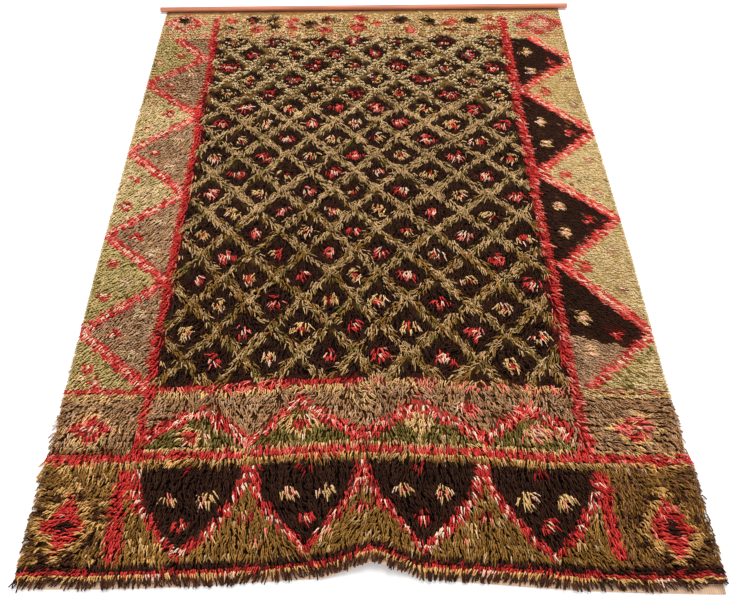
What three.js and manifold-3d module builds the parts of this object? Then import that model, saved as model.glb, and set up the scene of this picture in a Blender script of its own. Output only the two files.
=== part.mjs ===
// A long-pile rug of two loom widths sewn side by side, lying flat, with a round wooden rod on its far hem.
// Millimetres, +Z up, length along Y with the rod at +Y. The seam is drawn in and puckers at the near end.
import * as THREE from "three";
import Module from "manifold-3d";

// Cloth. A place on it is x across and v down its length, from the far end of the pile.
const FAR_HEM_V = -15;
const PILE_START_V = 6;
const PILE_END_V = 1745;
const NEAR_HEM_V = 1762;
const HEM_THICK = 3.5;
const SEAM_GAP = 0.3;
const PANEL_WIDTH = 640;
const SEAM_FAR_X = -5;
const SEAM_NEAR_X = 12;

// Selvedges of the two panels, in x at v.
const SELVEDGES = [
  { v: FAR_HEM_V, left: -640, right: 628 },
  { v: 350, left: -643, right: 624 },
  { v: 650, left: -645, right: 635 },
  { v: 1000, left: -648, right: 641 },
  { v: 1400, left: -646, right: 640 },
  { v: NEAR_HEM_V, left: -643, right: 644 },
];

// Pile height over the floor, in the middle and along each side, at v.
const PILE_HEIGHTS = [
  { v: PILE_START_V, middle: 10, left: 10, right: 9 },
  { v: 300, middle: 12, left: 10, right: 8 },
  { v: 900, middle: 13, left: 11, right: 9 },
  { v: 1340, middle: 15, left: 12, right: 12 },
  { v: 1480, middle: 16, left: 15, right: 15 },
  { v: 1530, middle: 22, left: 21, right: 21 },
  { v: PILE_END_V, middle: 23, left: 23, right: 23 },
];
const SIDE_BORDER = 470; // x where the side borders start
const SIDE_BLEND = 60;
const LUMP = 3.2;
const EDGE_SHARE = 0.5; // of the pile's height, at the selvedges
const SEAM_SHARE = 0.82;

// The seam's draw: a wide arch over the near half, a notch in the near hem, and a pucker off the floor.
const ARCH = { rise: 25, reach: 300, starts: 300, full: 1350 };
const NOTCH = { rise: 24, reach: 88, inward: 120 };
const PUCKER = { high: 18, reach: 70, inward: 125 };
const HOLLOW = { spread: 3, under: 1, floor: -4, past: 88 };

// Locks of pile that lean out past the selvedges and over the near hem.
const LOCK_STEP = 23;
const LOCK_ROOT = 11; // inside the edge
const LOCK_BEND = 2; // outside it
const LOCK_LEAN = 5; // most, towards the near end
const LOCK_SHORT = 9;
const LOCK_LONG = 17;
const LONG_PILE_V = 1500;
const LOCK_WIDE = 10;
const LOCK_TIP_WIDE = 6;
const LOCK_THICK = 3.2;
const LOCK_CLEAR = 0.4; // under a tip

const ROD = { radius: 7.5, length: 1315, bevel: 1.2, sides: 32, x: -2.5, beyond: 7, seat: 0.3 };

const CELL = 34;
const RIM = 12;
const YARN_BROWN = 0x6f5238;
const ROD_WOOD = 0xb56f4c;

const wasm = await Module();
wasm.setup();

const smooth = (low, high, at) => THREE.MathUtils.smoothstep(at, low, high);
const bell = (at, reach) => Math.exp(-((at / reach) ** 2));
const seamX = (v) => THREE.MathUtils.mapLinear(v, FAR_HEM_V, NEAR_HEM_V, SEAM_FAR_X, SEAM_NEAR_X);

// A fixed spread of numbers from 0 to 1 for a pair of counts.
function scatter(a, b) {
  const wave = Math.sin(a * 127.1 + b * 311.7) * 43758.5453;
  return wave - Math.floor(wave);
}

// A column of a table at v, straight between its rows.
function lookUp(table, column, v) {
  const after = Math.max(1, table.findIndex((row) => row.v >= v));
  const [from, to] = v > table.at(-1).v ? [table.at(-2), table.at(-1)] : [table[after - 1], table[after]];
  const share = THREE.MathUtils.clamp((v - from.v) / (to.v - from.v), 0, 1);
  return THREE.MathUtils.lerp(from[column], to[column], share);
}

// How far the seam's draw moves a place towards the far end.
function drawIn(x, v) {
  const off = x - seamX(v);
  const arch = ARCH.rise * bell(off, ARCH.reach) * smooth(ARCH.starts, ARCH.full, v);
  const notch = NOTCH.rise * Math.max(0, 1 - Math.abs(off) / NOTCH.reach);
  return arch + notch * bell(NEAR_HEM_V - v, NOTCH.inward);
}

// How far the pucker lifts the cloth off the floor.
function pucker(x, v) {
  const inward = Math.max(0, NEAR_HEM_V - v);
  return PUCKER.high * bell(x - seamX(v), PUCKER.reach) * bell(inward, PUCKER.inward);
}

function pileHeight(x, v) {
  const side = smooth(SIDE_BORDER - SIDE_BLEND, SIDE_BORDER + SIDE_BLEND, Math.abs(x));
  const border = lookUp(PILE_HEIGHTS, x < 0 ? "left" : "right", v);
  return THREE.MathUtils.lerp(lookUp(PILE_HEIGHTS, "middle", v), border, side);
}

// Places in mm from start to end: a rim's width in from each end, and even steps between.
function stations(start, end) {
  const inner = end - start - 2 * RIM;
  const steps = Math.round(inner / CELL);
  const middle = Array.from({ length: steps + 1 }, (_, i) => start + RIM + (inner * i) / steps);
  return [start, ...middle, end];
}

// A closed mesh of a height field over a grid of columns and rows, with a flat bottom at floor.
// place(column, row) gives a point of the top, and columns run to +X as rows run to -Y.
function fieldSolid(columns, rows, place, floor) {
  const top = rows.flatMap((_, r) => columns.map((_, c) => place(c, r)));
  const wide = columns.length;
  const index = [];
  for (let r = 0; r + 1 < rows.length; r++) {
    for (let c = 0; c + 1 < wide; c++) {
      const a = r * wide + c;
      index.push(a, a + wide, a + wide + 1, a, a + wide + 1, a + 1);
    }
  }
  const last = rows.length - 1;
  const rim = [];
  for (let r = 0; r <= last; r++) rim.push(r * wide);
  for (let c = 1; c < wide; c++) rim.push(last * wide + c);
  for (let r = last - 1; r >= 0; r--) rim.push(r * wide + wide - 1);
  for (let c = wide - 2; c > 0; c--) rim.push(c);
  const feet = rim.map((at) => new THREE.Vector3(top[at].x, top[at].y, floor));
  rim.forEach((at, i) => {
    const next = (i + 1) % rim.length;
    const foot = top.length + i;
    const nextFoot = top.length + next;
    index.push(at, foot, nextFoot, at, nextFoot, rim[next]);
  });
  const outline = feet.map((p) => new THREE.Vector2(p.x, p.y));
  for (const [a, b, c] of THREE.ShapeUtils.triangulateShape(outline, [])) {
    index.push(top.length + a, top.length + c, top.length + b);
  }
  return solidOf([...top, ...feet], index);
}

function solidOf(points, index) {
  const vertProperties = new Float32Array(points.flatMap((p) => p.toArray()));
  return new wasm.Manifold(new wasm.Mesh({ numProp: 3, vertProperties, triVerts: new Uint32Array(index) }));
}

// A tapered lock of pile along three points, with the edge's direction as its width.
function lockSolid(path, along) {
  const points = path.flatMap((at, i) => {
    const share = i / (path.length - 1);
    const wide = THREE.MathUtils.lerp(LOCK_WIDE, LOCK_TIP_WIDE, share) / 2;
    const side = along.clone().multiplyScalar(wide);
    const high = new THREE.Vector3(0, 0, LOCK_THICK / 2);
    return [
      at.clone().sub(side).sub(high),
      at.clone().add(side).sub(high),
      at.clone().add(side).add(high),
      at.clone().sub(side).add(high),
    ];
  });
  const index = [0, 2, 1, 0, 3, 2];
  const end = points.length - 4;
  index.push(end, end + 1, end + 2, end, end + 2, end + 3);
  for (let ring = 0; ring < end; ring += 4) {
    for (let k = 0; k < 4; k++) {
      const a = ring + k;
      const b = ring + ((k + 1) % 4);
      index.push(a, b, b + 4, a, b + 4, a + 4);
    }
  }
  const made = solidOf(points, index);
  return made.volume() > 0 ? made : solidOf(points, index.reverse());
}

// A panel of the rug. side is -1 for the left one and 1 for the right one.
function panel(side) {
  const edge = (v) => lookUp(SELVEDGES, side < 0 ? "left" : "right", v);
  const seam = (v) => seamX(v) + (side * SEAM_GAP) / 2;
  const across = stations(0, PANEL_WIDTH);
  const columns = across.map((at) => at / across.at(-1));
  const pileRows = stations(PILE_START_V, PILE_END_V);
  const rows = [FAR_HEM_V, PILE_START_V - 1, ...pileRows, PILE_END_V + 1, NEAR_HEM_V];
  const low = (v) => (side < 0 ? edge(v) : seam(v));
  const high = (v) => (side < 0 ? seam(v) : edge(v));
  const outerColumn = side < 0 ? 0 : columns.length - 1;
  const seamColumn = columns.length - 1 - outerColumn;

  const onTop = (c, r) => {
    const v = rows[r];
    const x = THREE.MathUtils.lerp(low(v), high(v), columns[c]);
    const hem = v < PILE_START_V || v > PILE_END_V;
    const lump = LUMP * (2 * scatter(side * (c + 1), r) - 1);
    let height = hem ? HEM_THICK : pileHeight(x, v) + lump;
    if (!hem && c === outerColumn) height *= EDGE_SHARE;
    if (!hem && c === seamColumn) height *= SEAM_SHARE;
    if (v === PILE_START_V || v === PILE_END_V) height *= EDGE_SHARE;
    return new THREE.Vector3(x, drawIn(x, v) - v, height + pucker(x, v));
  };
  const slab = fieldSolid(columns, rows, onTop, 0).subtract(puckerHollow());
  const locks = [...sideLocks(side, edge), ...nearLocks(side, edge, seam)];
  return locks.reduce((body, lock) => body.add(lock), slab);
}

// The air under the pucker, open at the near edge.
function puckerHollow() {
  const half = HOLLOW.spread * PUCKER.reach;
  const columns = stations(-half, half);
  const rows = stations(NEAR_HEM_V - HOLLOW.spread * PUCKER.inward, NEAR_HEM_V + HOLLOW.past);
  const place = (c, r) => {
    const x = seamX(NEAR_HEM_V) + columns[c];
    const v = rows[r];
    return new THREE.Vector3(x, -v, pucker(x, v) - HOLLOW.under);
  };
  return fieldSolid(columns, rows, place, HOLLOW.floor);
}

function sideLocks(side, edge) {
  const count = Math.floor((PILE_END_V - PILE_START_V) / LOCK_STEP);
  const along = new THREE.Vector3(0, 1, 0);
  return Array.from({ length: count }, (_, i) => {
    const v = PILE_START_V + LOCK_STEP * (i + 0.3 + 0.4 * scatter(i, side));
    const long = smooth(LONG_PILE_V - CELL, LONG_PILE_V + CELL, v);
    const reach = LOCK_SHORT + (LOCK_LONG - LOCK_SHORT) * Math.max(long, scatter(side, i) ** 2);
    const lean = LOCK_LEAN * scatter(i, 2 * side);
    const root = pileHeight(edge(v), v) * EDGE_SHARE;
    const at = (out, down, z) => new THREE.Vector3(edge(v) + side * out, drawIn(edge(v), v) - v - down, z);
    const rest = LOCK_THICK / 2 + LOCK_CLEAR;
    const bend = at(LOCK_BEND, lean / 2, (root + rest) / 2);
    return lockSolid([at(-LOCK_ROOT, 0, root), bend, at(reach, lean, rest)], along);
  });
}

function nearLocks(side, edge, seam) {
  const outer = edge(PILE_END_V);
  const inner = seam(PILE_END_V);
  const count = Math.floor(Math.abs(outer - inner) / LOCK_STEP);
  return Array.from({ length: count }, (_, i) => {
    const x = inner + ((outer - inner) * (i + 0.35 + 0.3 * scatter(i, side + 3))) / count;
    const tip = PILE_END_V + LOCK_SHORT + LOCK_LEAN * scatter(i, side + 9);
    const rest = HEM_THICK + LOCK_THICK / 2 + LOCK_CLEAR;
    const root = pileHeight(x, PILE_END_V) * EDGE_SHARE;
    const at = (v, z) => new THREE.Vector3(x, drawIn(x, v) - v, z + pucker(x, v));
    const bend = at(PILE_END_V + LOCK_BEND, (root + rest) / 2);
    return lockSolid([at(PILE_END_V - LOCK_ROOT, root), bend, at(tip, rest)], new THREE.Vector3(1, 0, 0));
  });
}

function meshOf(name, solid, color, roughness) {
  const mesh = solid.getMesh();
  const geometry = new THREE.BufferGeometry();
  geometry.setAttribute("position", new THREE.BufferAttribute(mesh.vertProperties, 3));
  geometry.setIndex(new THREE.BufferAttribute(mesh.triVerts, 1));
  geometry.computeVertexNormals();
  const made = new THREE.Mesh(geometry, new THREE.MeshStandardMaterial({ color, roughness, metalness: 0 }));
  made.name = name;
  return made;
}

// The round rod, with a small bevel at each end, seated on the far hem.
function hangingRod() {
  const half = ROD.length / 2;
  const profile = [
    [0, -half],
    [ROD.radius - ROD.bevel, -half],
    [ROD.radius, -half + ROD.bevel],
    [ROD.radius, half - ROD.bevel],
    [ROD.radius - ROD.bevel, half],
    [0, half],
  ].map(([x, y]) => new THREE.Vector2(x, y));
  const made = new THREE.Mesh(
    new THREE.LatheGeometry(profile, ROD.sides),
    new THREE.MeshStandardMaterial({ color: ROD_WOOD, roughness: 0.45, metalness: 0 }),
  );
  made.name = "hanging_rod";
  made.rotation.z = -Math.PI / 2;
  made.position.set(ROD.x, ROD.beyond, HEM_THICK + ROD.seat + ROD.radius);
  return made;
}

const rug = new THREE.Group();
rug.add(meshOf("panel_left", panel(-1), YARN_BROWN, 0.95));
rug.add(meshOf("panel_right", panel(1), YARN_BROWN, 0.95));
rug.add(hangingRod());

// The frame's origin is under the middle of the whole rug.
const outer = new THREE.Box3().setFromObject(rug, true);
const middle = outer.getCenter(new THREE.Vector3());
rug.position.set(-middle.x, -middle.y, 0);

const object = new THREE.Group();
object.add(rug);
export default object;
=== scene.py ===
"""A long-pile rug of two woven panels sewn side by side, lying flat, with a wooden rod on its far hem.

A place on the cloth is x across and v down its length from the far end of the pile, both in millimetres.
"""

import math

import bpy
import numpy as np
from mathutils import Matrix, Vector


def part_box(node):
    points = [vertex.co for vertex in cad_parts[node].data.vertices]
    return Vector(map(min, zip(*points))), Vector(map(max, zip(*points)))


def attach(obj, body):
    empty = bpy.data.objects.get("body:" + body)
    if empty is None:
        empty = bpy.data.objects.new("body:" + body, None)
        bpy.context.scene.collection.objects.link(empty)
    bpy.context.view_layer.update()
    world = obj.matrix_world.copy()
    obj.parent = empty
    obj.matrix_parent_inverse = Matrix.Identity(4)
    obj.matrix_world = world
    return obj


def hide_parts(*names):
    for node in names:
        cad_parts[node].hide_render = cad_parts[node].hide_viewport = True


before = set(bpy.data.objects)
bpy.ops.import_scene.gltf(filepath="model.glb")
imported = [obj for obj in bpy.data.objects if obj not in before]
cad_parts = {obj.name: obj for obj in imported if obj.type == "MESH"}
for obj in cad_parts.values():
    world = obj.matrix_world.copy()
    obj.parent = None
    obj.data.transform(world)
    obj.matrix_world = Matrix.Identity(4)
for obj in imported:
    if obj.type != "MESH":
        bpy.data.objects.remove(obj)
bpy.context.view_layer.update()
SEED = 11
rng = np.random.default_rng(SEED)
MM = 0.001

# The cloth, in the sizes of its solids
FAR_HEM_V = -15
PILE_START_V = 6
PILE_END_V = 1745
NEAR_HEM_V = 1762
HEM_THICK = 3.5
SEAM_GAP = 0.3
SEAM_FAR_X = -5
SEAM_NEAR_X = 12
PATTERN_LEFT = -650  # x where the pattern's own u starts

SELVEDGE_V = (FAR_HEM_V, 350, 650, 1000, 1400, NEAR_HEM_V)
SELVEDGE_X = {-1: (-640, -643, -645, -648, -646, -643), 1: (628, 624, 635, 641, 640, 644)}

HEIGHT_V = (PILE_START_V, 300, 900, 1340, 1480, 1530, PILE_END_V)
# The pile's height over the middle, the left border and the right one
HEIGHTS = ((10, 12, 13, 15, 16, 22, 23), (10, 10, 11, 12, 15, 21, 23), (9, 8, 9, 12, 15, 21, 23))
SIDE_BORDER = 470
SIDE_BLEND = 60

ARCH_RISE = 25
ARCH_REACH = 300
ARCH_STARTS = 300
ARCH_FULL = 1350
NOTCH_RISE = 24
NOTCH_REACH = 88
NOTCH_INWARD = 120
PUCKER_HIGH = 18
PUCKER_REACH = 70
PUCKER_INWARD = 125

ROD_RADIUS = 7.5
ROD_X = -2.5
ROD_BEYOND = 7

# The rod's solid says where the cloth's own zero lies in the frame.
rod_low, rod_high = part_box("hanging_rod")
ROD_MID = (rod_low + rod_high) / 2
ZERO_X = ROD_MID.x / MM - ROD_X
ZERO_Y = ROD_MID.y / MM - ROD_BEYOND


def smooth(low, high, at):
    """0 below low, 1 above high and a soft step between."""
    share = np.clip((at - low) / (high - low), 0, 1)
    return share * share * (3 - 2 * share)


def bell(at, reach):
    return np.exp(-((at / reach) ** 2))


def seam_x(v):
    return SEAM_FAR_X + (SEAM_NEAR_X - SEAM_FAR_X) * (v - FAR_HEM_V) / (NEAR_HEM_V - FAR_HEM_V)


def draw_in(x, v):
    """How far the tight seam moves a place towards the far end."""
    off = x - seam_x(v)
    arch = ARCH_RISE * bell(off, ARCH_REACH) * smooth(ARCH_STARTS, ARCH_FULL, v)
    notch = NOTCH_RISE * np.maximum(0, 1 - np.abs(off) / NOTCH_REACH)
    return arch + notch * bell(NEAR_HEM_V - v, NOTCH_INWARD)


def pucker(x, v):
    """How far the cloth stands off the floor beside the near end of the seam."""
    inward = np.maximum(0, NEAR_HEM_V - v)
    return PUCKER_HIGH * bell(x - seam_x(v), PUCKER_REACH) * bell(inward, PUCKER_INWARD)


def selvedge(side, v):
    return np.interp(v, SELVEDGE_V, SELVEDGE_X[side])


def pile_height(x, v):
    side = smooth(SIDE_BORDER - SIDE_BLEND, SIDE_BORDER + SIDE_BLEND, np.abs(x))
    middle, left, right = [np.interp(v, HEIGHT_V, heights) for heights in HEIGHTS]
    return middle + (np.where(x < 0, left, right) - middle) * side


def on_floor(x, v, z):
    """Points of the frame, in metres, for places on the cloth at a height z over its underside."""
    return np.stack([x + ZERO_X, draw_in(x, v) - v + ZERO_Y, z + pucker(x, v)], -1) * MM


DRIFT_TABLE = 256


def drift(x, v, cell, seed):
    """Smooth random values from -1 to 1 that change over a cell."""
    table = np.random.default_rng(seed).uniform(-1, 1, (DRIFT_TABLE, DRIFT_TABLE))
    a = x / cell + DRIFT_TABLE / 2
    b = v / cell
    i = np.floor(a).astype(int)
    j = np.floor(b).astype(int)
    s = smooth(0, 1, a - i)
    t = smooth(0, 1, b - j)
    i %= DRIFT_TABLE - 1
    j %= DRIFT_TABLE - 1
    near = table[i, j] * (1 - s) + table[i + 1, j] * s
    far = table[i, j + 1] * (1 - s) + table[i + 1, j + 1] * s
    return near * (1 - t) + far * t


# Yarns: the record's slot, a shaded tone and a bright tone, as sRGB numbers of 255
YARNS = {
    "dark": ("yarn_dark", (24, 9, 3), (70, 42, 29)),
    "umber": ("yarn_dark", (34, 11, 4), (100, 58, 38)),
    "bark": ("yarn_taupe", (54, 24, 6), (156, 108, 70)),
    "olive": ("yarn_olive", (116, 86, 40), (230, 190, 138)),
    "straw": ("yarn_olive", (146, 112, 60), (255, 226, 176)),
    "green": ("yarn_green", (64, 50, 12), (150, 130, 66)),
    "sage": ("yarn_green", (134, 110, 54), (232, 206, 142)),
    "pale": ("yarn_olive", (154, 122, 66), (252, 226, 176)),
    "taupe": ("yarn_taupe", (90, 55, 26), (228, 186, 146)),
    "fawn": ("yarn_taupe", (82, 46, 18), (214, 164, 116)),
    "moss": ("yarn_olive", (76, 44, 8), (180, 132, 66)),
    "camel": ("yarn_camel", (160, 110, 52), (255, 216, 150)),
    "honey": ("yarn_camel", (152, 100, 42), (248, 200, 126)),
    "cream": ("yarn_cream", (224, 150, 118), (255, 232, 202)),
    "red": ("yarn_red", (142, 12, 14), (240, 80, 72)),
    "madder": ("yarn_red", (84, 8, 10), (196, 50, 50)),
    "coral": ("yarn_red", (212, 66, 60), (255, 160, 140)),
}
YARN_NAMES = list(YARNS)


def linear(rgb):
    """An sRGB colour of 255 as a linear colour with alpha."""
    share = [c / 255 for c in rgb]
    return (*[c / 12.92 if c <= 0.04045 else ((c + 0.055) / 1.055) ** 2.4 for c in share], 1.0)


def between(low, at, high):
    return (at > low) & (at < high)


CHART_WOBBLE = 0.8
STAR_LONG = 0.8  # a flower's size down the cloth, as a share of its size across
PETAL_REACH = 1.25  # how far its slanting arms go, as a share of its size
HEART = (0.36, 0.5)  # half its heart, across and down, as shares of its size
ZIGZAG_HEART = 0.27  # half a zigzag's light middle, as a share of its half width


class Chart:
    """Which yarn each knot has. Later fills cover earlier ones."""

    def __init__(self, x, v):
        self.u = x - PATTERN_LEFT + rng.normal(0, CHART_WOBBLE, len(x))
        self.v = v + rng.normal(0, CHART_WOBBLE, len(x))
        self.roll = rng.random(len(x))
        self.yarn = np.zeros(len(x), np.int8)
        self.fan = np.zeros((len(x), 2))  # how a flower's yarns spread, across and down the cloth

    def fill(self, where, yarn, flecks=None, share=0.0):
        self.yarn[where] = YARN_NAMES.index(yarn)
        if flecks:
            self.yarn[where & (self.roll < share)] = YARN_NAMES.index(flecks)

    def block(self, u_from, u_to, v_from, v_to):
        return between(u_from, self.u, u_to) & between(v_from, self.v, v_to)

    def diamond(self, at, half_wide, half_long):
        """How far a knot is from the middle of a diamond, with 1 on its outline."""
        return np.abs(self.u - at[0]) / half_wide + np.abs(self.v - at[1]) / half_long

    def star(self, at, size, arms, heart, flecks=None):
        """A small flower of straight and slanting arms round a heart."""
        du = (self.u - at[0]) / size
        dv = (self.v - at[1]) / (STAR_LONG * size)
        self.petals(du, dv, np.ones(len(du), bool), arms, heart, flecks)

    def petals(self, across, down, where, arms, heart, flecks=None):
        du = np.abs(across)
        dv = np.abs(down)
        blooming = where & (du + dv < PETAL_REACH) & (du < 1) & (dv < 1)
        self.fill(blooming, arms, flecks, 0.2)
        self.fill(where & (du < HEART[0]) & (dv < HEART[1]), heart)
        self.fan[blooming] = np.stack([across, down], 1)[blooming]

    def plant(self, flowers, down=0):
        """The flowers of a table, each as u, v from a place down the cloth, size, arms, heart, flecks."""
        for u, v, *looks in flowers:
            self.star((u, v + down), *looks)

    def zigzag(self, zone, along, line, half, share=0.3):
        """A band of three yarns along a line, the middle one light."""
        off = np.abs(along - line)
        self.fill(zone & (off < half), "red", "coral", share)
        self.fill(zone & (off < ZIGZAG_HEART * half), "cream", "coral", 0.4)


# The lattice: its columns in u, the first row, and how its rows grow down the length
COLUMN_U = (185, 248, 315, 375, 439, 505, 569, 625, 683, 749, 822, 896, 968, 1040, 1108)
ROW_V = 212
ROW_STEP = 61
ROW_GROWTH = 0.4
ROW_SAG = 13  # how much lower the rows lie past these places in u
ROW_SAG_U = (700, 1000)
FIELD = (192, 1080, 130, 1351)
LATTICE_LINE = ((130, 700, 1200), (0.13, 0.1, 0.1))  # half its lines' width, as a share of a cell, by v
LINE_RUN = (1.8, 0.8)  # how strongly a line's yarns lie along it, across and down the cloth
STRAW_END_V = 560  # where the light lines of the far end stop, over a soft edge
STRAW_EDGE = 240
SHADED_V = (700, 1150)  # where the lines get more of a darker yarn
HALF_CELL = 65
FIRST_RIGHT_COLUMN = 7
LAST_ROW = 17
FLOWER = 15
FLOWER_LONG = 0.88
FAR_FLOWER_V = (700, 300)  # where the flowers get larger towards the far end


def lattice_cells(chart):
    """How many cells along each of the two slants of the lattice a knot lies."""
    column = np.interp(chart.u, COLUMN_U, np.arange(-1, len(COLUMN_U) - 1))
    v = chart.v - ROW_SAG * smooth(*ROW_SAG_U, chart.u) - ROW_V
    row = 1 + (np.sqrt(ROW_STEP**2 + 4 * ROW_GROWTH * v) - ROW_STEP) / (2 * ROW_GROWTH)
    return (column + row) / 2, (column - row) / 2


def paint_lattice(chart, inside, dp, dq):
    half_line = np.interp(chart.v, *LATTICE_LINE)
    line = inside & (np.maximum(np.abs(dp), np.abs(dq)) > 0.5 - half_line)
    chart.fill(line, "olive", "green", 0.12)
    chart.fill(line & (chart.v + STRAW_EDGE * chart.roll < STRAW_END_V), "straw", "moss", 0.1)
    chart.fill(line & (chart.roll > 0.96), "dark")
    shaded = between(0.12, chart.roll, 0.12 + 0.38 * smooth(*SHADED_V, chart.v))
    chart.fill(line & shaded, "moss")
    slope = np.where(np.abs(dp) > np.abs(dq), -1, 1)
    run = np.stack([slope * LINE_RUN[0], np.full(len(slope), LINE_RUN[1])], 1)
    chart.fan[line] = run[line]


def paint_field(chart):
    """The lattice, and a flower in each cell, red and camel ones by turns."""
    inside = chart.block(*FIELD)
    chart.fill(inside, "dark")
    p, q = lattice_cells(chart)
    dp = p - np.round(p)
    dq = q - np.round(q)
    paint_lattice(chart, inside, dp, dq)
    column = np.round(p) + np.round(q)
    row = np.round(p) - np.round(q)
    place = np.where(column < FIRST_RIGHT_COLUMN, column, column - FIRST_RIGHT_COLUMN)
    skipped = np.where((column > FIRST_RIGHT_COLUMN) & (row > LAST_ROW - 1), 1, 0)
    even = (place // 2 + (row - 1) // 2 + skipped) % 2 == 0
    size = FLOWER * (1 + 0.25 * smooth(*FAR_FLOWER_V, chart.v))
    across = (dp + dq) * HALF_CELL / size
    down = (dp - dq) * HALF_CELL / (FLOWER_LONG * size)
    planted = inside & (row >= 0) & (row <= LAST_ROW)
    chart.petals(across, down, planted & even, "red", "cream", "coral")
    chart.petals(across, down, planted & ~even, "camel", "red", "cream")


# The side borders: the places where each zigzag turns, by turns at the selvedge and beside the field
LEFT_TURN_V = (135, 230, 345, 487, 628, 785, 925, 1067, 1204, 1353)
LEFT_TURN_U = (75, 165, 6, 178, 6, 180, 4, 175, 2, 180)
RIGHT_TURN_V = (140, 250, 382, 560, 715, 875, 1022, 1210, 1345)
RIGHT_TURN_U = (1172, 1278, 1106, 1282, 1110, 1287, 1124, 1292, 1128)
ZIGZAG_HALF = 17
LEFT_BAND = (172, 191)
RIGHT_BAND = (1079, 1105)
BEYOND_U = (-50, 1400)  # past both selvedges
SIDE_V = (128, 1354)
LEFT_SAGE_V = (430, 960)  # the left border is greener outside these places, over a soft edge
SAGE_EDGE = 90
GREENER_CELL = 75  # the size of the greener patches in the worn right border
GREENER_V = (700, 900)
DARK_START_V = 142
# Where the right border's last triangle turns taupe: v at a u, and how it slants
TAUPE_START = (1110, 1215, 0.25)

# Flowers at each outer and inner turn: u, v from the turn, size, arms, heart, flecks
LEFT_OUTER_FLOWERS = (
    (80, 8, 14, "red", "cream"),
    (130, -45, 14, "straw", "cream"),
    (130, 60, 14, "straw", "cream"),
)
LEFT_INNER_FLOWERS = (
    (40, -54, 15, "red", "cream"),
    (78, 2, 17, "straw", "cream"),
    (36, 45, 15, "red", "cream"),
)
RIGHT_OUTER_FLOWERS = (
    (1146, -42, 16, "camel", "cream", "cream"),
    (1148, 46, 16, "camel", "cream", "cream"),
    (1212, 4, 13, "red", "coral"),
)
RIGHT_INNER_FLOWERS = (
    (1178, 6, 17, "red", "coral"),
    (1248, -46, 14, "taupe", "cream"),
    (1250, 68, 14, "taupe", "cream"),
)
# Single flowers of the left border: u, v, size, arms, heart
LEFT_LONE_FLOWERS = (
    (88, 214, 15, "red", "cream"),
    (28, 242, 15, "camel", "cream"),
    (36, 436, 15, "camel", "cream"),
    (95, 478, 15, "red", "cream"),
    (44, 534, 15, "camel", "cream"),
    (62, 1336, 15, "red", "cream"),
    (34, 1328, 15, "camel", "cream"),
)


def paint_left_border(chart):
    u, v = chart.u, chart.v
    zone = chart.block(BEYOND_U[0], LEFT_BAND[0] + 5, *SIDE_V)
    chart.fill(zone, "pale", "sage", 0.25)
    edge = v + SAGE_EDGE * chart.roll
    chart.fill(zone & ((edge > LEFT_SAGE_V[1]) | (edge < LEFT_SAGE_V[0])), "sage", "green", 0.04)
    line = np.interp(v, LEFT_TURN_V, LEFT_TURN_U)
    chart.fill(zone & (u > line), "taupe", "fawn", 0.3)
    for turn in LEFT_TURN_V[2:-1:2]:
        chart.plant(LEFT_OUTER_FLOWERS, turn)
    for turn in LEFT_TURN_V[5::2]:
        chart.plant(LEFT_INNER_FLOWERS, turn)
    chart.plant(LEFT_LONE_FLOWERS)
    chart.zigzag(zone, u, line, ZIGZAG_HALF + 2)


def paint_right_border(chart):
    u, v = chart.u, chart.v
    zone = chart.block(RIGHT_BAND[1] - 5, BEYOND_U[1], *SIDE_V)
    chart.fill(zone, "pale", "sage", 0.2)
    greener = 0.85 * smooth(-0.1, 0.5, drift(u, v, GREENER_CELL, seed=23)) * smooth(*GREENER_V, v)
    chart.fill(zone & (chart.roll < greener), "sage", "green", 0.12)
    line = np.interp(v, RIGHT_TURN_V, RIGHT_TURN_U)
    triangle = zone & (u < line) & (v > DARK_START_V)
    chart.fill(triangle, "dark", "bark", 0.02)
    at_u, at_v, slant = TAUPE_START
    chart.fill(triangle & (v > at_v + slant * (u - at_u)), "taupe")
    for turn in RIGHT_TURN_V[1::2]:
        chart.plant(RIGHT_OUTER_FLOWERS, turn)
    for turn in RIGHT_TURN_V[2:-1:2]:
        chart.plant(RIGHT_INNER_FLOWERS, turn)
    chart.zigzag(zone, u, line, ZIGZAG_HALF)


# The far border's flowers: their arms and heart, and u, v and size of each
FAR_FLOWERS = (
    (("dark", "red"), ((300, 38, 19), (535, 40, 19), (925, 90, 15))),
    (("dark", "dark"), ((362, 36, 17), (366, 74, 15), (478, 62, 20), (765, 44, 20), (852, 46, 17))),
    (("dark", "dark"), ((864, 66, 16), (990, 50, 19))),
    (("dark", "taupe"), ((228, 88, 14),)),
    (("red", "red"), ((640, 30, 17), (1046, 88, 17), (1048, 46, 13))),
    (("red", "coral"), ((228, 40, 16), (316, 90, 17), (420, 46, 16), (525, 92, 17), (634, 78, 19))),
    (("red", "coral"), ((800, 95, 15), (930, 58, 18))),
    (("red", "dark"), ((424, 86, 14),)),
    (("coral", "red"), ((690, 62, 13),)),
)
FAR_HALO = 12  # how much larger the light ground round a far flower is
FAR_BORDER_V = (-20, 132)
LAST_FAR_ROW_V = 108
# The diamonds at its two corners: middle, half width and half length
FAR_LEFT_DIAMOND = ((78, 48), 76, 46)
FAR_RIGHT_DIAMOND = ((1203, 66), 82, 56)
LEFT_DIAMOND_END_V = 100


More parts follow.
